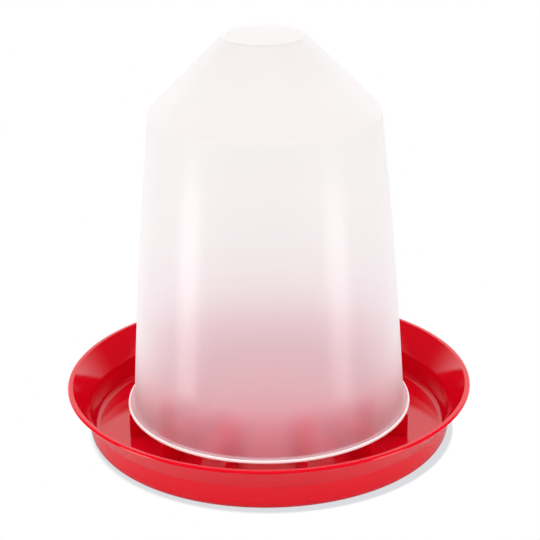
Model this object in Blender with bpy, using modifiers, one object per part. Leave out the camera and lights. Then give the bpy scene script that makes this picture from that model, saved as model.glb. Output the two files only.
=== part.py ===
"""Aviary bird feeder: a round trough with a spreading cone, and a closed hopper that stands in it.

Metres, +Z up. The origin is on the ground, under the middle of the tray. Both pieces are thin
plastic mouldings, turned about the same upright axis. The feed leaves the open mouth of the hopper,
slides down the cone and comes out under the hopper's flange, between the fins that carry it.
"""

import math

import bmesh
import bpy
from mathutils import Matrix, Vector

# Tray: the outer form
RIM_RADIUS = 0.150
TRAY_HEIGHT = 0.0391
LIP_WIDTH = 0.0036
LIP_THICKNESS = 0.0022
LIP_EDGE_ROUND = 0.0009
CREASE_RADIUS = 0.1362
CREASE_HEIGHT = 0.0195
CREASE_ROUND = 0.0040
SIDE_DRAFT_DEG = 8.0
TRAY_WALL = 0.0020

# Tray: the floor and its foot ring
FLOOR_LIFT = 0.0010
FOOT_RING_WIDTH = 0.0040
CORNER_ROUND = 0.0050

# Tray: the cone that spreads the feed
CONE_BASE_RADIUS = 0.0915
CONE_SLOPE_DEG = 29.0
CONE_TIP_ROUND = 0.0160
CONE_FOOT_ROUND = 0.0040

# Tray: the stepped fins
FIN_COUNT = 12
FIN_THICKNESS = 0.0020
FIN_DRAFT_DEG = 0.8
SEAT_HEIGHT = 0.0210
SEAT_MARGIN = 0.0010
FIN_TOP_HEIGHT = 0.0345
FIN_LEAD_WIDTH = 0.0125
FIN_LEAD_ROUND = 0.0300
FIN_RIDGE_FALL_DEG = 4.7

# How the hopper stands on the fins
HOPPER_CLEARANCE = 0.0004
REST_GAP = 0.0003

# Hopper
HOPPER_WALL = 0.0015
FLANGE_RADIUS = 0.1055
FLANGE_THICKNESS = 0.0020
FLANGE_EDGE_ROUND = 0.0006
BARREL_BASE_RADIUS = 0.1010
BARREL_CROWN = 0.0014
SHOULDER_RADIUS = 0.0827
SHOULDER_HEIGHT = 0.2467
SHOULDER_ROUND = 0.0040
CAP_RADIUS = 0.02905
CAP_ROUND = 0.0020
TOTAL_HEIGHT = 0.3011

# Facets
TURN_STEPS = 72
ARC_STEP_DEG = 20.0
BARREL_STEPS = 5
LEAD_STEPS = 5
SHARP_ANGLE_DEG = 35.0

RED = (0.62, 0.006, 0.018, 1.0)
MILKY_WHITE = (0.90, 0.88, 0.87, 1.0)


def start_clean():
    """Remove whatever the scene holds."""
    for old in list(bpy.data.objects):
        bpy.data.objects.remove(old, do_unlink=True)


def new_collection(name):
    """A collection linked into the scene."""
    collection = bpy.data.collections.new(name)
    bpy.context.scene.collection.children.link(collection)
    return collection


def plastic(name, colour, roughness):
    """A Principled material for one moulding."""
    material = bpy.data.materials.new(name)
    material.use_nodes = True
    shader = material.node_tree.nodes["Principled BSDF"]
    shader.inputs["Base Color"].default_value = colour
    shader.inputs["Roughness"].default_value = roughness
    shader.inputs["Metallic"].default_value = 0.0
    return material


def crossing(first, along_first, second, along_second):
    """Where two lines of the section plane meet."""
    turn = along_first.cross(along_second)
    return first + along_first * ((second - first).cross(along_second) / turn)


def parallel(points, distance):
    """The corners of an open outline moved to its left side by a distance."""
    ways = [(b - a).normalized() for a, b in zip(points, points[1:])]
    lefts = [Vector((-way.y, way.x)) * distance for way in ways]
    moved = [points[0] + lefts[0]]
    for index in range(1, len(ways)):
        before = points[index] + lefts[index - 1]
        after = points[index] + lefts[index]
        moved.append(crossing(before, ways[index - 1], after, ways[index]))
    moved.append(points[-1] + lefts[-1])
    return moved


def rounded(corners):
    """An outline from (corner, radius) pairs: a radius turns its corner into an arc."""
    points = [corners[0][0]]
    for (before, _), (corner, radius), (after, _) in zip(corners, corners[1:], corners[2:]):
        if radius == 0.0:
            points.append(corner)
            continue
        back = (before - corner).normalized()
        ahead = (after - corner).normalized()
        half_gap = back.angle(ahead) / 2
        turn = math.pi - 2 * half_gap
        side = -1.0 if back.cross(ahead) > 0 else 1.0
        centre = corner + (back + ahead).normalized() * (radius / math.sin(half_gap))
        arm = corner + back * (radius / math.tan(half_gap)) - centre
        steps = max(2, math.ceil(math.degrees(turn) / ARC_STEP_DEG))
        for step in range(steps + 1):
            points.append(centre + Matrix.Rotation(side * turn * step / steps, 2) @ arm)
    points.append(corners[-1][0])
    return points


def turned(name, outline, material, collection):
    """A solid turned from its half section, which runs from the axis back to the axis."""
    mesh = bpy.data.meshes.new(name)
    bm = bmesh.new()
    verts = [bm.verts.new((point.x, 0.0, point.y)) for point in outline]
    for first, second in zip(verts, verts[1:]):
        bm.edges.new((first, second))
    bm.to_mesh(mesh)
    bm.free()
    mesh.materials.append(material)
    solid = bpy.data.objects.new(name, mesh)
    collection.objects.link(solid)
    screw = solid.modifiers.new("turn", "SCREW")
    screw.axis = "Z"
    screw.angle = 2 * math.pi
    screw.steps = TURN_STEPS
    screw.render_steps = TURN_STEPS
    screw.use_merge_vertices = True
    screw.merge_threshold = 0.00001
    return solid


def keep_modified(solid):
    """Make what the modifiers give the object's own mesh."""
    depsgraph = bpy.context.evaluated_depsgraph_get()
    mesh = bpy.data.meshes.new_from_object(solid.evaluated_get(depsgraph))
    mesh.name = solid.name
    solid.modifiers.clear()
    solid.data = mesh


def floor_top():
    """Height of the trough's floor."""
    return FLOOR_LIFT + TRAY_WALL


def hopper_foot():
    """Height of the flange's underside, just above the seats of the fins."""
    return SEAT_HEIGHT + REST_GAP


def barrel_radius(height):
    """Outer radius of the hopper's barrel: a straight taper with a shallow crown."""
    foot = hopper_foot() + FLANGE_THICKNESS
    share = (height - foot) / (SHOULDER_HEIGHT - foot)
    taper = BARREL_BASE_RADIUS + (SHOULDER_RADIUS - BARREL_BASE_RADIUS) * share
    return taper + BARREL_CROWN * 4 * share * (1 - share)


def cone_corners():
    """Corners of the cone's upper skin, from the axis to the floor, with their radii.

    The first stretch is as long as the tip's arc needs, so the cone ends in a round dome.
    """
    slope = math.radians(CONE_SLOPE_DEG)
    sharp_tip = floor_top() + CONE_BASE_RADIUS * math.tan(slope)
    tip = sharp_tip - CONE_TIP_ROUND * (1 / math.cos(slope) - 1)
    dome = CONE_TIP_ROUND * math.tan(slope / 2)
    return [
        (Vector((0.0, tip)), 0.0),
        (Vector((dome, tip)), CONE_TIP_ROUND),
        (Vector((CONE_BASE_RADIUS, floor_top())), CONE_FOOT_ROUND),
    ]


def side_corners():
    """Corners of the side's outer skin: at the ground, at the crease and under the lip.

    Above the crease the wall leans out so that its inner skin ends on the lip's inner edge.
    """
    crease = Vector((CREASE_RADIUS, CREASE_HEIGHT))
    draft_run = CREASE_HEIGHT * math.tan(math.radians(SIDE_DRAFT_DEG))
    ground = Vector((CREASE_RADIUS - draft_run, 0.0))
    reach = Vector((RIM_RADIUS - LIP_WIDTH, TRAY_HEIGHT)) - crease
    lean = Matrix.Rotation(-math.asin(TRAY_WALL / reach.length), 2) @ reach.normalized()
    lip_root = crease + lean * ((TRAY_HEIGHT - LIP_THICKNESS - CREASE_HEIGHT) / lean.y)
    return [ground, crease, lip_root]


def tray_section():
    """Half section of the tray: over the top skin to the lip, and back along the underside."""
    tip, dome, cone_foot = cone_corners()
    ground, crease, lip_root = side_corners()
    inner_ground, inner_crease, _ = parallel([ground, crease, lip_root], TRAY_WALL)
    along_floor = Vector((1.0, 0.0))
    floor_end = crossing(cone_foot[0], along_floor, inner_ground, inner_crease - inner_ground)

    top_skin = [
        tip,
        dome,
        cone_foot,
        (floor_end, CORNER_ROUND),
        (inner_crease, CREASE_ROUND + TRAY_WALL),
    ]
    lip = [
        (Vector((RIM_RADIUS - LIP_WIDTH, TRAY_HEIGHT)), LIP_EDGE_ROUND / 2),
        (Vector((RIM_RADIUS, TRAY_HEIGHT)), LIP_EDGE_ROUND),
        (Vector((RIM_RADIUS, TRAY_HEIGHT - LIP_THICKNESS)), LIP_EDGE_ROUND / 2),
        (lip_root, LIP_EDGE_ROUND / 2),
    ]

    # The underside follows the cone and the floor one wall thickness below, inside the foot ring
    top_line = [tip[0], dome[0], cone_foot[0], floor_end]
    tip_under, dome_under, cone_foot_under, _ = parallel(top_line, -TRAY_WALL)
    ring_outer = ground.x - CORNER_ROUND - TRAY_WALL
    ring_inner = ring_outer - FOOT_RING_WIDTH
    underside = [
        (crease, CREASE_ROUND),
        (ground, CORNER_ROUND + TRAY_WALL),
        (Vector((ring_inner, 0.0)), 0.0),
        (Vector((ring_inner, FLOOR_LIFT)), 0.0),
        (cone_foot_under, CONE_FOOT_ROUND + TRAY_WALL),
        (dome_under, CONE_TIP_ROUND - TRAY_WALL),
        (tip_under, 0.0),
    ]
    return rounded(top_skin + lip + underside)


def fin_root(radius):
    """Height of a fin's root: in the middle of the cone's wall, or of the floor outside the cone."""
    on_cone = (CONE_BASE_RADIUS - radius) * math.tan(math.radians(CONE_SLOPE_DEG))
    return floor_top() - TRAY_WALL / 2 + max(on_cone, 0.0)


def fin_outline():
    """Side view of one fin: its outer end, the seat, the lead, the ridge, and the root line."""
    slope = math.tan(math.radians(CONE_SLOPE_DEG))
    fall = math.tan(math.radians(FIN_RIDGE_FALL_DEG))
    seat_end = FLANGE_RADIUS + SEAT_MARGIN
    guide = barrel_radius(FIN_TOP_HEIGHT) - HOPPER_WALL - HOPPER_CLEARANCE
    crest = guide - FIN_LEAD_WIDTH
    outline = [
        Vector((seat_end, fin_root(seat_end))),
        Vector((seat_end, SEAT_HEIGHT)),
        Vector((guide, SEAT_HEIGHT)),
    ]

    # The lead is an arc that centres the hopper as it is lowered over the fins
    sweep = math.asin(FIN_LEAD_WIDTH / FIN_LEAD_ROUND)
    for step in range(LEAD_STEPS + 1):
        angle = sweep * (1 - step / LEAD_STEPS)
        drop = FIN_LEAD_ROUND * (1 - math.cos(angle))
        outline.append(Vector((crest + FIN_LEAD_ROUND * math.sin(angle), FIN_TOP_HEIGHT - drop)))

    # The ridge falls gently inwards from the crest until it meets the root line in the cone
    crest_point = Vector((crest, FIN_TOP_HEIGHT))
    cone_root = Vector((crest, fin_root(crest)))
    outline.append(crossing(crest_point, Vector((-1.0, -fall)), cone_root, Vector((-1.0, slope))))
    if CONE_BASE_RADIUS < seat_end:
        outline.append(Vector((CONE_BASE_RADIUS, fin_root(CONE_BASE_RADIUS))))
    return outline


def add_fin_blanks(collection):
    """All fins in one mesh, each a plate that thins upwards, for the union with the tray."""
    outline = fin_outline()
    thinning = math.tan(math.radians(FIN_DRAFT_DEG))
    bm = bmesh.new()
    for index in range(FIN_COUNT):
        blank = [bm.verts.new((0.0, -point.x, point.y)) for point in outline]
        face = bm.faces.new(blank)
        thick = bmesh.ops.extrude_face_region(bm, geom=[face])["geom"]
        far_side = [item for item in thick if isinstance(item, bmesh.types.BMVert)]
        for side, verts in ((-1.0, blank), (1.0, far_side)):
            for vert in verts:
                vert.co.x = side * (FIN_THICKNESS / 2 - (vert.co.z - SEAT_HEIGHT) * thinning)
        around = Matrix.Rotation(2 * math.pi * (index + 0.5) / FIN_COUNT, 3, "Z")
        bmesh.ops.rotate(bm, verts=blank + far_side, matrix=around, cent=(0.0, 0.0, 0.0))
    bmesh.ops.recalc_face_normals(bm, faces=bm.faces)
    mesh = bpy.data.meshes.new("fin_blanks")
    bm.to_mesh(mesh)
    bm.free()
    blanks = bpy.data.objects.new("fin_blanks", mesh)
    collection.objects.link(blanks)
    blanks.hide_render = True
    blanks.display_type = "WIRE"
    return blanks


def make_tray(parts, cutters):
    """The trough, its cone and its fins as one moulding."""
    tray = turned("tray", tray_section(), plastic("red_plastic", RED, 0.25), parts)
    keep_modified(tray)
    union = tray.modifiers.new("fins", "BOOLEAN")
    union.operation = "UNION"
    union.solver = "EXACT"
    union.object = add_fin_blanks(cutters)
    return tray


def hopper_section():
    """Half section of the hopper: from the cap up the inside, round the flange, and back outside."""
    foot = hopper_foot()
    flange_top = foot + FLANGE_THICKNESS
    rise = SHOULDER_HEIGHT - flange_top
    heights = [flange_top + rise * step / BARREL_STEPS for step in range(BARREL_STEPS + 1)]
    outer = [Vector((barrel_radius(height), height)) for height in heights]
    outer += [Vector((CAP_RADIUS, TOTAL_HEIGHT)), Vector((0.0, TOTAL_HEIGHT))]
    inner = parallel(outer, HOPPER_WALL)

    # Only the shoulder and the cap are rounded; the barrel's own points already make a fair curve
    smooth = [0.0] * BARREL_STEPS
    outer_rounds = smooth + [SHOULDER_ROUND, CAP_ROUND, 0.0]
    inner_rounds = smooth + [SHOULDER_ROUND - HOPPER_WALL, CAP_ROUND - HOPPER_WALL, 0.0]
    mouth_edge = crossing(inner[0], inner[1] - inner[0], Vector((0.0, foot)), Vector((1.0, 0.0)))
    flange = [
        (mouth_edge, 0.0),
        (Vector((FLANGE_RADIUS, foot)), FLANGE_EDGE_ROUND),
        (Vector((FLANGE_RADIUS, flange_top)), FLANGE_EDGE_ROUND),
    ]
    inside = list(zip(inner, inner_rounds))[:0:-1]
    outside = list(zip(outer, outer_rounds))
    return rounded(inside + flange + outside)[::-1]


def make_hopper(parts):
    """The hopper: flange, crowned barrel, conical shoulder and closed cap, open below."""
    hopper = turned("hopper", hopper_section(), plastic("milky_plastic", MILKY_WHITE, 0.40), parts)
    keep_modified(hopper)
    return hopper


def shade(solid):
    """Smooth shading that keeps the moulded edges crisp."""
    solid.data.shade_smooth()
    solid.data.set_sharp_from_angle(angle=math.radians(SHARP_ANGLE_DEG))


def main():
    start_clean()
    parts = new_collection("aviary_bird_feeder")
    cutters = new_collection("cutters")
    for solid in (make_tray(parts, cutters), make_hopper(parts)):
        shade(solid)


main()
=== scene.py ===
import math

import bmesh
import bpy
from mathutils import Matrix, Vector


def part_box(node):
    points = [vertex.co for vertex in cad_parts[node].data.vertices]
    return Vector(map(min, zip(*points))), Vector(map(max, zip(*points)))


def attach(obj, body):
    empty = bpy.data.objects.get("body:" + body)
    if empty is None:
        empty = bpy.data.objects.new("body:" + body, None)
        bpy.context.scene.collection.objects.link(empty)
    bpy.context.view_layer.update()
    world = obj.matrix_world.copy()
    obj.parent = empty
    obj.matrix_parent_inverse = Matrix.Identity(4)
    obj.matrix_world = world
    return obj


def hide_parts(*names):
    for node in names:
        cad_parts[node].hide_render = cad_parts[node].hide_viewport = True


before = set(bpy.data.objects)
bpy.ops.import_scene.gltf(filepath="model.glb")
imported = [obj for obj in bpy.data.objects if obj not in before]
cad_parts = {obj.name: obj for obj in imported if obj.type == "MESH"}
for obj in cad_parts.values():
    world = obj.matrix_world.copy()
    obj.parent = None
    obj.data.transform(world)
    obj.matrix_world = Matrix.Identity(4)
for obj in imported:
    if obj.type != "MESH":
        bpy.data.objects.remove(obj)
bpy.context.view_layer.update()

# Outer sizes, read from the solids (metres)
RIM_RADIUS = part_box("tray")[1].x
HOPPER_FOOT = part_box("hopper")[0].z
FLANGE_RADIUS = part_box("hopper")[1].x
TOTAL_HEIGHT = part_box("hopper")[1].z

# Tray: the side and its lip
TRAY_HEIGHT = 0.0391
LIP_WIDTH = 0.0036
LIP_THICKNESS = 0.0022
LIP_TOP_ROUND = 0.0014
LIP_UNDER_ROUND = 0.0006
CREASE_RADIUS = 0.1362
CREASE_HEIGHT = 0.0195
CREASE_ROUND = 0.0040
SIDE_DRAFT_DEG = 8.0
TRAY_WALL = 0.0020

# Tray: the floor, its foot ring and the cone
FLOOR_LIFT = 0.0010
FOOT_RING_WIDTH = 0.0040
FOOT_RING_ROUND = 0.0004
CORNER_ROUND = 0.0050
CONE_BASE_RADIUS = 0.0915
CONE_SLOPE_DEG = 29.0
CONE_TIP_ROUND = 0.0160
CONE_FOOT_ROUND = 0.0040
FLOOR_TOP = FLOOR_LIFT + TRAY_WALL

# Tray: the stepped fins
FIN_COUNT = 12
FIN_THICKNESS = 0.0020
FIN_DRAFT_DEG = 0.8
FIN_EDGE_ROUND = 0.0004
SEAT_HEIGHT = 0.0210
SEAT_MARGIN = 0.0010
FIN_TOP_HEIGHT = 0.0345
FIN_LEAD_WIDTH = 0.0125
FIN_LEAD_ROUND = 0.0300
FIN_RIDGE_FALL_DEG = 4.7
HOPPER_CLEARANCE = 0.0004

# Hopper
HOPPER_WALL = 0.0015
FLANGE_THICKNESS = 0.0020
FLANGE_UNDER_ROUND = 0.0004
FLANGE_TOP_ROUND = 0.0012
FLANGE_ROOT_ROUND = 0.0008
FLANGE_EDGE_DEPTH = 0.0013
BARREL_BASE_RADIUS = 0.1010
BARREL_CROWN = 0.0014
SHOULDER_RADIUS = 0.0827
SHOULDER_HEIGHT = 0.2467
SHOULDER_ROUND = 0.0040
CAP_RADIUS = 0.02905
CAP_ROUND = 0.0020
FLANGE_TOP = HOPPER_FOOT + FLANGE_THICKNESS

# Fineness of the visible meshes
TURN_STEPS = 240
ARC_STEP_DEG = 7.5
LEAST_ARC_STEPS = 3
BARREL_STEPS = 16
LEAD_STEPS = 14
FIN_EDGE_STEPS = 3
SHARP_ANGLE_DEG = 35.0
WELD_DISTANCE = 0.000002

# Colours (linear)
STUDIO_WHITE = (1.0, 1.0, 1.0, 1.0)
RED = (0.75, 0.002, 0.014, 1.0)
RED_DEEP = (0.70, 0.001, 0.011, 1.0)
MILK = (0.988, 0.987, 0.980, 1.0)
MILK_THIN = (0.992, 0.993, 0.987, 1.0)
# The cap's two colours are painted shade: its top is greyed to hold back the strong light from above
MILK_CAP_PAINTED_SHADE = (0.935, 0.930, 0.920, 1.0)
MILK_FOOT = (0.99, 0.968, 0.998, 1.0)
# The pink is a painted red glow: it stands in for the light the red tray throws up into the hopper's
# foot
MILK_PAINTED_RED_GLOW = (0.99, 0.72, 0.84, 1.0)
# Painted: a deeper pink where a fin stands behind the wall, for the fin's red seen through it
MILK_PAINTED_FIN_SHOW_THROUGH = (0.99, 0.58, 0.69, 1.0)
MILK_DENSE = (0.84, 0.835, 0.84, 1.0)
GLOW = (0.965, 0.963, 0.958, 1.0)
GLOW_CAP_PAINTED_SHADE = (0.88, 0.875, 0.87, 1.0)
GLOW_FOOT = (0.91, 0.860, 0.99, 1.0)
FLANGE_EDGE = (0.955, 0.935, 0.915, 1.0)
FLOOR_WHITE = (0.70, 0.70, 0.71, 1.0)
SHADOW_GREY = (0.71, 0.715, 0.745, 1.0)

# The three finishes: plain values on the shaders. The wall blurs what is behind it, and its IOR is
# low because a view through one face that also bends would shift the red away from the tray.
RED_FINISH = {"IOR": 1.49, "Specular IOR Level": 0.46}
WALL_FINISH = {
    "IOR": 1.12,
    "Transmission Weight": 0.57,
    "Coat Weight": 0.6,
    "Coat IOR": 1.7,
    "Coat Roughness": 0.24,
}
# The edge's emission is a painted glow, standing in for the light the wall leads down to the
# flange's edge
EDGE_FINISH_WITH_PAINTED_GLOW = {"IOR": 1.49, "Emission Color": STUDIO_WHITE, "Emission Strength": 0.12}

# The moulded skin: its values in each plastic, and what is the same in all of them
RED_SKIN = {"Streak Count": 7.0, "Ripple Scale": 70.0, "Dullness": 0.08, "Dullness Spread": 0.04}
WALL_SKIN = {"Streak Count": 8.0, "Ripple Scale": 60.0, "Dullness": 0.88, "Dullness Spread": 0.06}
EDGE_SKIN = {"Streak Count": 8.0, "Ripple Scale": 60.0, "Dullness": 0.42, "Dullness Spread": 0.08}
STREAK_DETAIL = 3.0
STREAK_DRIFT = 5.0
RIPPLE_DETAIL = 2.0
RIPPLE_SHARE = 0.7
GRAIN_SCALE = 1400.0
GRAIN_DETAIL = 1.0
RELIEF_STRENGTH = 0.10
RED_RELIEF = 0.0004
MILKY_RELIEF = 0.0005

# The hopper's wall: between which heights (metres) or angles off a fin a change comes in
CAP_HEIGHTS = (TOTAL_HEIGHT - CAP_ROUND, TOTAL_HEIGHT - CAP_ROUND / 4)
BLUISH_HEIGHTS = (0.090, 0.170)
PINK_HEIGHTS = (0.034, 0.078)
FIN_HEIGHTS = (0.040, 0.062)
FLANGE_HEIGHTS = (FLANGE_TOP, FLANGE_TOP + 0.0008)
BESIDE_FIN_DEG = (1.0, 8.5)

# The hopper's wall: how it shares out the light (0 to 1)
GLOW_SHARE = 0.34
GLOW_SHARE_FOOT = 0.18
FOOT_DULLNESS = 0.36
FOOT_SHOWS = 0.18
FIN_SHOWS = 0.28
EDGE_ON_SLANTS = (0.15, 1.0)
DENSE_EDGE_ON = 0.66
DENSE_FLANGE = 0.32

# Camera: where it stands and how it is held
CAMERA_DISTANCE = 1.1849
CAMERA_HEIGHT = 0.6011
CAMERA_AZIMUTH_DEG = 1.5
CAMERA_YAW_DEG = -0.096
CAMERA_PITCH_DEG = -21.9
CAMERA_ROLL_DEG = -0.767
CAMERA_LENS = 116.37
CAMERA_SENSOR = 36.0

# Studio: the light from all round, by direction
LIGHT_AROUND = 0.88
LIGHT_FRONT = 0.60
LIGHT_OVERHEAD = 0.44
OVERHEAD_FOCUS = 3.0
LIGHT_BELOW = 0.40
HORIZON = (-0.3, 0.1)

# Studio: what the gloss mirrors, a white sweep behind and a dark room elsewhere
SWEEP_WHITE = 1.15
SWEEP_DEPTHS = (0.45, 0.85)
CEILING_HEIGHTS = (0.60, 0.85)
ROOM_DARK = 0.04

# Studio: the two soft boxes
LAMP_DISTANCE = 0.70
LEFT_LAMP_AZIMUTH_DEG = -67.0
RIGHT_LAMP_AZIMUTH_DEG = 62.0
LAMP_CENTRE_HEIGHT = -0.14
LAMP_WIDTH = 0.23
LAMP_HEIGHT = 0.48
LEFT_LAMP_WATTS = 1.68
RIGHT_LAMP_WATTS = 1.36

# Studio: the floor, and the soft shadow on it
FLOOR_SIZE = 8.0
TABLE_EDGE = (0.20, 0.21)
SHADOW_REACH = 0.0068
SHADOW_OPENNESS = (0.70, 0.94)
SHADOW_LEAN = (-0.8, -0.1, 1.0)
SHADOW_SAMPLES = 16


def crossing(first, along_first, second, along_second):
    """Where two lines of the section plane meet."""
    turn = along_first.cross(along_second)
    return first + along_first * ((second - first).cross(along_second) / turn)


def parallel(points, distance):
    """The corners of an open outline moved to its left side by a distance."""
    ways = [(b - a).normalized() for a, b in zip(points, points[1:])]
    lefts = [Vector((-way.y, way.x)) * distance for way in ways]
    moved = [points[0] + lefts[0]]
    for index in range(1, len(ways)):
        before = points[index] + lefts[index - 1]
        after = points[index] + lefts[index]
        moved.append(crossing(before, ways[index - 1], after, ways[index]))
    moved.append(points[-1] + lefts[-1])
    return moved


def rounded(corners):
    """An outline from (corner, radius) pairs: a radius turns its corner into a fine arc."""
    points = [corners[0][0]]
    for (before, _), (corner, radius), (after, _) in zip(corners, corners[1:], corners[2:]):
        if radius == 0.0:
            points.append(corner)
            continue
        back = (before - corner).normalized()
        ahead = (after - corner).normalized()
        half_gap = back.angle(ahead) / 2
        turn = math.pi - 2 * half_gap
        side = -1.0 if back.cross(ahead) > 0 else 1.0
        centre = corner + (back + ahead).normalized() * (radius / math.sin(half_gap))
        arm = corner + back * (radius / math.tan(half_gap)) - centre
        steps = max(LEAST_ARC_STEPS, math.ceil(math.degrees(turn) / ARC_STEP_DEG))
        for step in range(steps + 1):
            points.append(centre + Matrix.Rotation(side * turn * step / steps, 2) @ arm)
    points.append(corners[-1][0])
    return points


def add_object(name, data):
    """A new object in the scene."""
    made = bpy.data.objects.new(name, data)
    bpy.context.scene.collection.objects.link(made)
    return made


def add_mesh(name, bm):
    """A new object from a finished BMesh."""
    mesh = bpy.data.meshes.new(name)
    bm.to_mesh(mesh)
    bm.free()
    return add_object(name, mesh)


def keep_modified(piece):
    """Make what the modifiers give the piece's own mesh."""
    depsgraph = bpy.context.evaluated_depsgraph_get()
    mesh = bpy.data.meshes.new_from_object(piece.evaluated_get(depsgraph))
    mesh.name = piece.name
    piece.modifiers.clear()
    piece.data = mesh


def turned(name, outline):
    """A closed skin turned from its half section, which runs from the axis back to the axis."""
    bm = bmesh.new()
    verts = [bm.verts.new((point.x, 0.0, point.y)) for point in outline]
    for first, second in zip(verts, verts[1:]):
        bm.edges.new((first, second))
    piece = add_mesh(name, bm)
    screw = piece.modifiers.new("turn", "SCREW")
    screw.axis = "Z"
    screw.angle = 2 * math.pi
    screw.steps = TURN_STEPS
    screw.render_steps = TURN_STEPS
    screw.use_merge_vertices = True
    screw.merge_threshold = WELD_DISTANCE
    keep_modified(piece)
    return piece


def shade(piece, material):
    """Smooth shading that keeps the crisp edges, and one material all over."""
    piece.data.materials.clear()
    piece.data.materials.append(material)
    piece.data.shade_smooth()
    piece.data.set_sharp_from_angle(angle=math.radians(SHARP_ANGLE_DEG))


# The tray's form


def cone_corners():
    """Corners of the cone's upper skin, from the axis to the floor, with their radii."""
    slope = math.radians(CONE_SLOPE_DEG)
    sharp_tip = FLOOR_TOP + CONE_BASE_RADIUS * math.tan(slope)
    tip = sharp_tip - CONE_TIP_ROUND * (1 / math.cos(slope) - 1)
    dome = CONE_TIP_ROUND * math.tan(slope / 2)
    return [
        (Vector((0.0, tip)), 0.0),
        (Vector((dome, tip)), CONE_TIP_ROUND),
        (Vector((CONE_BASE_RADIUS, FLOOR_TOP)), CONE_FOOT_ROUND),
    ]


def side_corners():
    """Corners of the side's outer skin: at the ground, at the crease and under the lip."""
    crease = Vector((CREASE_RADIUS, CREASE_HEIGHT))
    draft_run = CREASE_HEIGHT * math.tan(math.radians(SIDE_DRAFT_DEG))
    ground = Vector((CREASE_RADIUS - draft_run, 0.0))
    reach = Vector((RIM_RADIUS - LIP_WIDTH, TRAY_HEIGHT)) - crease
    lean = Matrix.Rotation(-math.asin(TRAY_WALL / reach.length), 2) @ reach.normalized()
    lip_root = crease + lean * ((TRAY_HEIGHT - LIP_THICKNESS - CREASE_HEIGHT) / lean.y)
    return [ground, crease, lip_root]


def tray_section():
    """Half section of the tray: over the top skin to the lip, and back along the underside."""
    tip, dome, cone_foot = cone_corners()
    ground, crease, lip_root = side_corners()
    inner_ground, inner_crease, _ = parallel([ground, crease, lip_root], TRAY_WALL)
    along_floor = Vector((1.0, 0.0))
    floor_end = crossing(cone_foot[0], along_floor, inner_ground, inner_crease - inner_ground)
    top_skin = [
        tip,
        dome,
        cone_foot,
        (floor_end, CORNER_ROUND),
        (inner_crease, CREASE_ROUND + TRAY_WALL),
    ]
    lip = [
        (Vector((RIM_RADIUS - LIP_WIDTH, TRAY_HEIGHT)), LIP_TOP_ROUND / 2),
        (Vector((RIM_RADIUS, TRAY_HEIGHT)), LIP_TOP_ROUND),
        (Vector((RIM_RADIUS, TRAY_HEIGHT - LIP_THICKNESS)), LIP_UNDER_ROUND),
        (lip_root, LIP_UNDER_ROUND),
    ]
    top_line = [tip[0], dome[0], cone_foot[0], floor_end]
    tip_under, dome_under, cone_foot_under, _ = parallel(top_line, -TRAY_WALL)
    ring_outer = ground.x - CORNER_ROUND - TRAY_WALL
    ring_inner = ring_outer - FOOT_RING_WIDTH
    underside = [
        (crease, CREASE_ROUND),
        (ground, CORNER_ROUND + TRAY_WALL),
        (Vector((ring_inner, 0.0)), FOOT_RING_ROUND),
        (Vector((ring_inner, FLOOR_LIFT)), FOOT_RING_ROUND),
        (cone_foot_under, CONE_FOOT_ROUND + TRAY_WALL),
        (dome_under, CONE_TIP_ROUND - TRAY_WALL),
        (tip_under, 0.0),
    ]
    return rounded(top_skin + lip + underside)


def barrel_radius(height):
    """Outer radius of the hopper's barrel: a straight taper with a shallow crown."""
    share = (height - FLANGE_TOP) / (SHOULDER_HEIGHT - FLANGE_TOP)
    taper = BARREL_BASE_RADIUS + (SHOULDER_RADIUS - BARREL_BASE_RADIUS) * share
    return taper + BARREL_CROWN * 4 * share * (1 - share)


def fin_root(radius):
    """Height of a fin's root: in the middle of the cone's wall, or of the floor outside the cone."""
    on_cone = (CONE_BASE_RADIUS - radius) * math.tan(math.radians(CONE_SLOPE_DEG))
    return FLOOR_TOP - TRAY_WALL / 2 + max(on_cone, 0.0)


def fin_outline():
    """Side view of one fin: its outer end, the seat, the lead, the ridge, and the root line."""
    slope = math.tan(math.radians(CONE_SLOPE_DEG))
    fall = math.tan(math.radians(FIN_RIDGE_FALL_DEG))
    seat_end = FLANGE_RADIUS + SEAT_MARGIN
    guide = barrel_radius(FIN_TOP_HEIGHT) - HOPPER_WALL - HOPPER_CLEARANCE
    crest = guide - FIN_LEAD_WIDTH
    outline = [
        Vector((seat_end, fin_root(seat_end))),
        Vector((seat_end, SEAT_HEIGHT)),
        Vector((guide, SEAT_HEIGHT)),
    ]
    sweep = math.asin(FIN_LEAD_WIDTH / FIN_LEAD_ROUND)
    for step in range(LEAD_STEPS + 1):
        angle = sweep * (1 - step / LEAD_STEPS)
        drop = FIN_LEAD_ROUND * (1 - math.cos(angle))
        outline.append(Vector((crest + FIN_LEAD_ROUND * math.sin(angle), FIN_TOP_HEIGHT - drop)))
    crest_point = Vector((crest, FIN_TOP_HEIGHT))
    cone_root = Vector((crest, fin_root(crest)))
    outline.append(crossing(crest_point, Vector((-1.0, -fall)), cone_root, Vector((-1.0, slope))))
    outline.append(Vector((CONE_BASE_RADIUS, fin_root(CONE_BASE_RADIUS))))
    return outline


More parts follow.
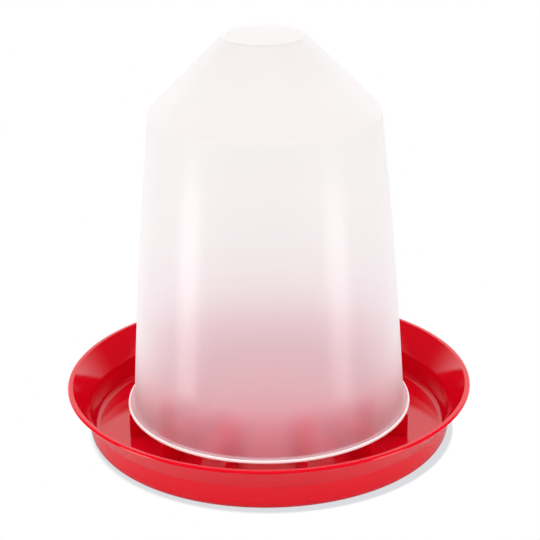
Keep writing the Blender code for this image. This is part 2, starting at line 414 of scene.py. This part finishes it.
def fin_blanks():
    """All fins in one mesh, each a plate that thins upwards and has rounded edges."""
    outline = fin_outline()
    thinning = math.tan(math.radians(FIN_DRAFT_DEG))
    bm = bmesh.new()
    for index in range(FIN_COUNT):
        blank = [bm.verts.new((0.0, -point.x, point.y)) for point in outline]
        face = bm.faces.new(blank)
        thick = bmesh.ops.extrude_face_region(bm, geom=[face])["geom"]
        far_side = [item for item in thick if isinstance(item, bmesh.types.BMVert)]
        for side, verts in ((-1.0, blank), (1.0, far_side)):
            for vert in verts:
                vert.co.x = side * (FIN_THICKNESS / 2 - (vert.co.z - SEAT_HEIGHT) * thinning)
        around = Matrix.Rotation(2 * math.pi * (index + 0.5) / FIN_COUNT, 3, "Z")
        bmesh.ops.rotate(bm, verts=blank + far_side, matrix=around, cent=(0.0, 0.0, 0.0))
    bmesh.ops.recalc_face_normals(bm, faces=bm.faces)
    blanks = add_mesh("fin_blanks", bm)
    soften = blanks.modifiers.new("soften", "BEVEL")
    soften.width = FIN_EDGE_ROUND
    soften.segments = FIN_EDGE_STEPS
    soften.limit_method = "ANGLE"
    soften.angle_limit = math.radians(SHARP_ANGLE_DEG)
    keep_modified(blanks)
    return blanks


def make_tray(material):
    """The trough, its cone and its fins, grown together as one moulding."""
    tray = turned("tray_moulding", tray_section())
    blanks = fin_blanks()
    union = tray.modifiers.new("fins", "BOOLEAN")
    union.operation = "UNION"
    union.solver = "EXACT"
    union.object = blanks
    keep_modified(tray)
    bpy.data.objects.remove(blanks, do_unlink=True)
    shade(tray, material)
    return tray


# The hopper's form


def hopper_section():
    """Half section of the hopper: from the cap up the inside, round the flange, and back outside."""
    rise = SHOULDER_HEIGHT - FLANGE_TOP
    heights = [FLANGE_TOP + rise * step / BARREL_STEPS for step in range(BARREL_STEPS + 1)]
    outer = [Vector((barrel_radius(height), height)) for height in heights]
    outer += [Vector((CAP_RADIUS, TOTAL_HEIGHT)), Vector((0.0, TOTAL_HEIGHT))]
    inner = parallel(outer, HOPPER_WALL)
    smooth = [0.0] * (BARREL_STEPS - 1)
    outer_rounds = [FLANGE_ROOT_ROUND] + smooth + [SHOULDER_ROUND, CAP_ROUND, 0.0]
    inner_rounds = [0.0] + smooth + [SHOULDER_ROUND - HOPPER_WALL, CAP_ROUND - HOPPER_WALL, 0.0]
    foot = Vector((0.0, HOPPER_FOOT))
    mouth_edge = crossing(inner[0], inner[1] - inner[0], foot, Vector((1.0, 0.0)))
    flange = [
        (mouth_edge, FLANGE_UNDER_ROUND),
        (Vector((FLANGE_RADIUS, HOPPER_FOOT)), FLANGE_UNDER_ROUND),
        (Vector((FLANGE_RADIUS, FLANGE_TOP)), FLANGE_TOP_ROUND),
    ]
    inside = list(zip(inner, inner_rounds))[:0:-1]
    outside = list(zip(outer, outer_rounds))
    return rounded(inside + flange + outside)[::-1]


def make_hopper(wall, edge):
    """The hopper: flange, crowned barrel, conical shoulder and closed cap, open below.

    At the flange's outer edge the eye looks into the most plastic, so it has its own material, with
    a weak painted glow.
    """
    hopper = turned("hopper_moulding", hopper_section())
    shade(hopper, wall)
    hopper.data.materials.append(edge)
    for face in hopper.data.polygons:
        if face.center.xy.length > FLANGE_RADIUS - FLANGE_EDGE_DEPTH:
            face.material_index = 1
    return hopper


# The plastics


def join(tree, *pairs):
    """Feed sockets: each pair is an output, a number or a colour, and the socket that takes it."""
    for value, socket in pairs:
        if isinstance(value, bpy.types.NodeSocket):
            tree.links.new(value, socket)
        else:
            socket.default_value = value


def set_plain(node, values):
    """Plain values on a node's own sockets, by their names."""
    for name, value in values.items():
        node.inputs[name].default_value = value


def split(tree, vector):
    """X, Y and Z of a vector."""
    made = tree.nodes.new("ShaderNodeSeparateXYZ")
    join(tree, (vector, made.inputs["Vector"]))
    return tuple(made.outputs)


def maths(tree, operation, first, second):
    """A Math node; gives its output."""
    made = tree.nodes.new("ShaderNodeMath")
    made.operation = operation
    join(tree, (first, made.inputs[0]), (second, made.inputs[1]))
    return made.outputs["Value"]


def vector_maths(tree, operation, *vectors):
    """A Vector Math node; gives the node."""
    made = tree.nodes.new("ShaderNodeVectorMath")
    made.operation = operation
    join(tree, *zip(vectors, made.inputs))
    return made


def rising(tree, value, span):
    """A smooth rise from 0 to 1 while a value goes through a span; gives its output."""
    made = tree.nodes.new("ShaderNodeMapRange")
    made.interpolation_type = "SMOOTHSTEP"
    set_plain(made, {"From Min": span[0], "From Max": span[1]})
    join(tree, (value, made.inputs["Value"]))
    return made.outputs["Result"]


def falling(tree, value, span):
    """A smooth fall from 1 to 0 while a value goes through a span; gives its output."""
    return rising(tree, value, (span[1], span[0]))


def mixed(tree, share, first, second, kind="FLOAT"):
    """The first number or colour, turning into the second by a share; gives the output."""
    made = tree.nodes.new("ShaderNodeMix")
    made.data_type = kind
    join(tree, (share, made.inputs["Factor"]), (first, made.inputs["A"]), (second, made.inputs["B"]))
    return made.outputs["Result"]


def tinted(tree, colour, *tints):
    """A colour with (share, tint) pairs laid over it in turn; gives the output."""
    for share, tint in tints:
        colour = mixed(tree, share, colour, tint, "RGBA")
    return colour


def mixed_shaders(tree, share, first, second):
    """The first shader, turning into the second by a share; gives the output."""
    made = tree.nodes.new("ShaderNodeMixShader")
    join(tree, (share, made.inputs["Fac"]), (first, made.inputs[1]), (second, made.inputs[2]))
    return made.outputs["Shader"]


def noise(tree, vector, scale, detail):
    """A Noise Texture on a vector; gives its value."""
    made = tree.nodes.new("ShaderNodeTexNoise")
    join(
        tree,
        (vector, made.inputs["Vector"]),
        (scale, made.inputs["Scale"]),
        (detail, made.inputs["Detail"]),
    )
    return made.outputs["Fac"]


def moulded_skin_group():
    """The skin of an injection moulding: flow streaks, soft ripples and uneven gloss.

    Streaks (0 to 1) run from the middle of the piece outwards and up its wall, as the plastic
    flowed. Height is the fine relief, and Roughness swings round the given Dullness.
    """
    group = bpy.data.node_groups.new("moulded_skin", "ShaderNodeTree")
    face = group.interface
    for name in ("Streak Count", "Ripple Scale", "Dullness", "Dullness Spread"):
        face.new_socket(name, in_out="INPUT", socket_type="NodeSocketFloat")
    for name in ("Streaks", "Roughness", "Height"):
        face.new_socket(name, in_out="OUTPUT", socket_type="NodeSocketFloat")
    given = group.nodes.new("NodeGroupInput").outputs
    result = group.nodes.new("NodeGroupOutput").inputs

    place = group.nodes.new("ShaderNodeTexCoord").outputs["Object"]
    x, y, z = split(group, place)
    level = group.nodes.new("ShaderNodeCombineXYZ")
    join(group, (x, level.inputs["X"]), (y, level.inputs["Y"]))
    outward = vector_maths(group, "NORMALIZE", level.outputs["Vector"])
    spread = vector_maths(group, "SCALE", outward.outputs["Vector"])
    join(group, (given["Streak Count"], spread.inputs["Scale"]))

    # The slow drift along the wall keeps the streaks from being perfectly straight
    radius = vector_maths(group, "LENGTH", level.outputs["Vector"])
    along = maths(group, "ADD", radius.outputs["Value"], z)
    drift = group.nodes.new("ShaderNodeCombineXYZ")
    join(group, (maths(group, "MULTIPLY", along, STREAK_DRIFT), drift.inputs["Z"]))
    flow = vector_maths(group, "ADD", spread.outputs["Vector"], drift.outputs["Vector"])
    streaks = noise(group, flow.outputs["Vector"], 1.0, STREAK_DETAIL)

    ripples = noise(group, place, given["Ripple Scale"], RIPPLE_DETAIL)
    grain = noise(group, place, GRAIN_SCALE, GRAIN_DETAIL)
    height = mixed(group, RIPPLE_SHARE, grain, ripples)
    swing = maths(group, "SUBTRACT", maths(group, "ADD", streaks, grain), 1.0)
    change = maths(group, "MULTIPLY", swing, given["Dullness Spread"])
    join(
        group,
        (streaks, result["Streaks"]),
        (maths(group, "ADD", given["Dullness"], change), result["Roughness"]),
        (height, result["Height"]),
    )
    return group


def new_material(name):
    """An empty node material; gives the material, its tree and its surface socket."""
    material = bpy.data.materials.new(name)
    material.use_nodes = True
    tree = material.node_tree
    tree.nodes.clear()
    return material, tree, tree.nodes.new("ShaderNodeOutputMaterial").inputs["Surface"]


def place_skin(tree, group, values, relief):
    """The moulded skin in a material, with this plastic's values; gives its outputs and normal."""
    skin = tree.nodes.new("ShaderNodeGroup")
    skin.node_tree = group
    set_plain(skin, values)
    bump = tree.nodes.new("ShaderNodeBump")
    set_plain(bump, {"Strength": RELIEF_STRENGTH, "Distance": relief})
    join(tree, (skin.outputs["Height"], bump.inputs["Height"]))
    return skin.outputs, bump.outputs["Normal"]


def principled(tree, finish, colour, roughness, normal):
    """A Principled BSDF with a finish's plain values; gives its output."""
    body = tree.nodes.new("ShaderNodeBsdfPrincipled")
    set_plain(body, finish)
    join(
        tree,
        (colour, body.inputs["Base Color"]),
        (roughness, body.inputs["Roughness"]),
        (normal, body.inputs["Normal"]),
    )
    return body.outputs["BSDF"]


def red_plastic(group):
    """Glossy red polypropylene: a clear sheen over an even red, a little deeper along the flow."""
    material, tree, surface = new_material("red_plastic")
    skin, normal = place_skin(tree, group, RED_SKIN, RED_RELIEF)
    colour = tinted(tree, RED_DEEP, (skin["Streaks"], RED))
    body = principled(tree, RED_FINISH, colour, skin["Roughness"], normal)
    join(tree, (body, surface))
    return material


def wall_masks(tree):
    """Masks from 0 to 1 that say where a spot of the hopper's wall lies, in this order.

    They are the closed cap, the bluish lower half, the pink foot, the belt as high as the fins,
    the strips beside a fin, and the flange. The cap mask greys the top as painted shade, and the
    pink and fin masks lay painted red light from the tray and the fins on the wall.
    """
    x, y, z = split(tree, tree.nodes.new("ShaderNodeTexCoord").outputs["Object"])
    cap = rising(tree, z, CAP_HEIGHTS)
    bluish = falling(tree, z, BLUISH_HEIGHTS)
    pink = falling(tree, z, PINK_HEIGHTS)
    fin_belt = falling(tree, z, FIN_HEIGHTS)
    flange = falling(tree, z, FLANGE_HEIGHTS)

    # The fins stand at odd multiples of this angle, and the gaps' middles at even ones
    half_gap = math.pi / FIN_COUNT
    azimuth = maths(tree, "ARCTAN2", y, x)
    off_fin = maths(tree, "SUBTRACT", half_gap, maths(tree, "PINGPONG", azimuth, half_gap))
    beside_fin = falling(tree, off_fin, [math.radians(angle) for angle in BESIDE_FIN_DEG])
    return cap, bluish, pink, fin_belt, beside_fin, flange


def milky_plastic(group):
    """Natural polypropylene: a milky wall that lets light and blurred shapes through.

    Each wall scatters once, on the face that meets the air; from within the plastic it is clear.
    Seen edge on there is more of it to look through, so it gets whiter there, as on the flange.
    Near the foot it lies close to the fins, so they show more clearly than what is further in;
    there a deeper pink is also painted beside each fin, for the fin's red showing through.
    """
    material, tree, surface = new_material("milky_plastic")
    skin, normal = place_skin(tree, group, WALL_SKIN, MILKY_RELIEF)
    cap, bluish, pink, fin_belt, beside_fin, flange = wall_masks(tree)
    # Beside a fin the wall is painted a deeper pink, for the fin's red that shows through
    painted_fin_show_through = maths(tree, "MULTIPLY", beside_fin, fin_belt)

    # The cap is greyed as painted shade, against the strong light it gets from above
    even = tinted(tree, MILK, (skin["Streaks"], MILK_THIN), (cap, MILK_CAP_PAINTED_SHADE))
    # The pink foot is a painted red glow, for the light the red tray throws into the wall
    colour = tinted(tree, even, (bluish, MILK_FOOT), (pink, MILK_PAINTED_RED_GLOW), (painted_fin_show_through, MILK_PAINTED_FIN_SHOW_THROUGH))
    dullness = mixed(tree, pink, skin["Roughness"], FOOT_DULLNESS)
    body = principled(tree, WALL_FINISH, colour, dullness, normal)
    glow = tree.nodes.new("ShaderNodeBsdfTranslucent")
    # The glow is greyed at the cap too, as painted shade
    glow_colour = tinted(tree, GLOW, (cap, GLOW_CAP_PAINTED_SHADE), (bluish, GLOW_FOOT))
    join(tree, (glow_colour, glow.inputs["Color"]), (normal, glow.inputs["Normal"]))
    glow_share = mixed(tree, pink, GLOW_SHARE, GLOW_SHARE_FOOT)
    lit = mixed_shaders(tree, glow_share, body, glow.outputs["BSDF"])

    through = tree.nodes.new("ShaderNodeBsdfTransparent")
    set_plain(through, {"Color": MILK_THIN})
    shows = maths(tree, "MULTIPLY", mixed(tree, beside_fin, FOOT_SHOWS, FIN_SHOWS), fin_belt)
    shown = mixed_shaders(tree, shows, lit, through.outputs["BSDF"])

    dense = tree.nodes.new("ShaderNodeBsdfDiffuse")
    join(tree, (MILK_DENSE, dense.inputs["Color"]), (normal, dense.inputs["Normal"]))
    slant = tree.nodes.new("ShaderNodeLayerWeight").outputs["Facing"]
    edge_on = maths(tree, "MULTIPLY", rising(tree, slant, EDGE_ON_SLANTS), DENSE_EDGE_ON)
    thick = maths(tree, "MAXIMUM", edge_on, maths(tree, "MULTIPLY", flange, DENSE_FLANGE))
    wall = mixed_shaders(tree, thick, shown, dense.outputs["BSDF"])

    within = tree.nodes.new("ShaderNodeNewGeometry").outputs["Backfacing"]
    clear = tree.nodes.new("ShaderNodeBsdfTransparent").outputs["BSDF"]
    join(tree, (mixed_shaders(tree, within, wall, clear), surface))
    return material


def flange_edge_plastic(group):
    """The same plastic seen edge on: nearly white, with a weak painted glow in place of the light
    the wall leads down to it.
    """
    material, tree, surface = new_material("flange_edge_plastic")
    skin, normal = place_skin(tree, group, EDGE_SKIN, MILKY_RELIEF)
    colour = tinted(tree, FLANGE_EDGE, (skin["Streaks"], MILK_THIN))
    body = principled(tree, EDGE_FINISH_WITH_PAINTED_GLOW, colour, skin["Roughness"], normal)
    join(tree, (body, surface))
    return material


# The studio


def ray_kinds(tree):
    """The Light Path's outputs, and 1 on the rays that see the white background."""
    rays = tree.nodes.new("ShaderNodeLightPath").outputs
    return rays, maths(tree, "MAXIMUM", rays["Is Camera Ray"], rays["Is Transmission Ray"])


def white_paper():
    """The floor's paper. The camera sees it white, with the soft shadow round the feeder's foot.

    To all other rays it is a round table just wider than the feeder, so that the soft boxes reach
    the feeder from below too.
    """
    material, tree, surface = new_material("paper_white")
    paper = tree.nodes.new("ShaderNodeBsdfDiffuse")
    set_plain(paper, {"Color": FLOOR_WHITE})
    beyond = tree.nodes.new("ShaderNodeBsdfTransparent")
    place = tree.nodes.new("ShaderNodeTexCoord").outputs["Object"]
    radius = vector_maths(tree, "LENGTH", place).outputs["Value"]
    outside = rising(tree, radius, TABLE_EDGE)
    table = mixed_shaders(tree, outside, paper.outputs["BSDF"], beyond.outputs["BSDF"])

    open_sky = tree.nodes.new("ShaderNodeAmbientOcclusion")
    open_sky.samples = SHADOW_SAMPLES
    set_plain(open_sky, {"Distance": SHADOW_REACH})
    lean = tree.nodes.new("ShaderNodeCombineXYZ")
    set_plain(lean, dict(zip("XYZ", Vector(SHADOW_LEAN).normalized())))
    clear = rising(tree, open_sky.outputs["AO"], SHADOW_OPENNESS)
    shown = tree.nodes.new("ShaderNodeEmission")
    join(
        tree,
        (lean.outputs["Vector"], open_sky.inputs["Normal"]),
        (tinted(tree, SHADOW_GREY, (clear, STUDIO_WHITE)), shown.inputs["Color"]),
    )
    _, seen = ray_kinds(tree)
    join(tree, (mixed_shaders(tree, seen, table, shown.outputs["Emission"]), surface))
    material.cycles.emission_sampling = "NONE"
    return material


def make_floor():
    """A wide, pale floor under the feeder."""
    bm = bmesh.new()
    bmesh.ops.create_grid(bm, x_segments=1, y_segments=1, size=FLOOR_SIZE / 2)
    floor = add_mesh("studio_floor", bm)
    floor.data.materials.append(white_paper())


def make_world():
    """Plain white light from all round, weaker from below.

    The gloss mirrors a white sweep behind the feeder and a dark room elsewhere.
    """
    world = bpy.data.worlds.new("studio")
    bpy.context.scene.world = world
    world.use_nodes = True
    world.cycles.sampling_method = "NONE"
    tree = world.node_tree
    sky = tree.nodes["Background"]
    set_plain(sky, {"Color": STUDIO_WHITE})
    _, y, z = split(tree, tree.nodes.new("ShaderNodeTexCoord").outputs["Generated"])

    behind = rising(tree, y, SWEEP_DEPTHS)
    white = maths(tree, "MULTIPLY", behind, falling(tree, z, CEILING_HEIGHTS))
    room = mixed(tree, white, ROOM_DARK, SWEEP_WHITE)

    front = maths(tree, "MAXIMUM", maths(tree, "MULTIPLY", y, -1.0), 0.0)
    level = maths(tree, "ADD", maths(tree, "MULTIPLY", front, LIGHT_FRONT), LIGHT_AROUND)
    fill = maths(tree, "MULTIPLY", level, mixed(tree, rising(tree, z, HORIZON), LIGHT_BELOW, 1.0))
    high = maths(tree, "POWER", maths(tree, "MAXIMUM", z, 0.0), OVERHEAD_FOCUS)
    soft = maths(tree, "ADD", maths(tree, "MULTIPLY", high, LIGHT_OVERHEAD), fill)

    rays, seen = ray_kinds(tree)
    light = mixed(tree, rays["Is Glossy Ray"], soft, room)
    join(tree, (mixed(tree, seen, light, 1.0), sky.inputs["Strength"]))


def add_lamp(name, azimuth_deg, watts):
    """A tall soft box that faces the feeder from one side; azimuth 0 is the front."""
    light = bpy.data.lights.new(name, "AREA")
    light.shape = "RECTANGLE"
    light.size = LAMP_WIDTH
    light.size_y = LAMP_HEIGHT
    light.energy = watts
    lamp = add_object(name, light)
    azimuth = math.radians(azimuth_deg)
    away = Vector((math.sin(azimuth), -math.cos(azimuth), 0.0))
    lamp.location = away * LAMP_DISTANCE + Vector((0.0, 0.0, LAMP_CENTRE_HEIGHT))
    lamp.rotation_mode = "QUATERNION"
    lamp.rotation_quaternion = away.to_track_quat("Z", "Y")
    lamp.visible_camera = False
    lamp.visible_transmission = False


def add_camera():
    """The photograph's view: from the front, a little above, with a slight roll."""
    data = bpy.data.cameras.new("camera")
    data.lens = CAMERA_LENS
    data.sensor_width = CAMERA_SENSOR
    camera = add_object("camera", data)
    azimuth = math.radians(CAMERA_AZIMUTH_DEG)
    stand = Vector((math.sin(azimuth), -math.cos(azimuth), 0.0)) * CAMERA_DISTANCE
    stand.z = CAMERA_HEIGHT
    heading = Matrix.Rotation(azimuth + math.radians(CAMERA_YAW_DEG), 4, "Z")
    tilt = Matrix.Rotation(math.radians(90.0 + CAMERA_PITCH_DEG), 4, "X")
    roll = Matrix.Rotation(math.radians(CAMERA_ROLL_DEG), 4, "Z")
    camera.matrix_world = Matrix.Translation(stand) @ heading @ tilt @ roll
    bpy.context.scene.camera = camera


def main():
    skin = moulded_skin_group()
    tray = make_tray(red_plastic(skin))
    hopper = make_hopper(milky_plastic(skin), flange_edge_plastic(skin))
    for piece, node in ((tray, "tray"), (hopper, "hopper")):
        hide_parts(node)
        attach(piece, "root")
    make_floor()
    make_world()
    add_lamp("soft_box_left", LEFT_LAMP_AZIMUTH_DEG, LEFT_LAMP_WATTS)
    add_lamp("soft_box_right", RIGHT_LAMP_AZIMUTH_DEG, RIGHT_LAMP_WATTS)
    add_camera()
    bpy.context.scene.view_settings.view_transform = "Standard"


main()
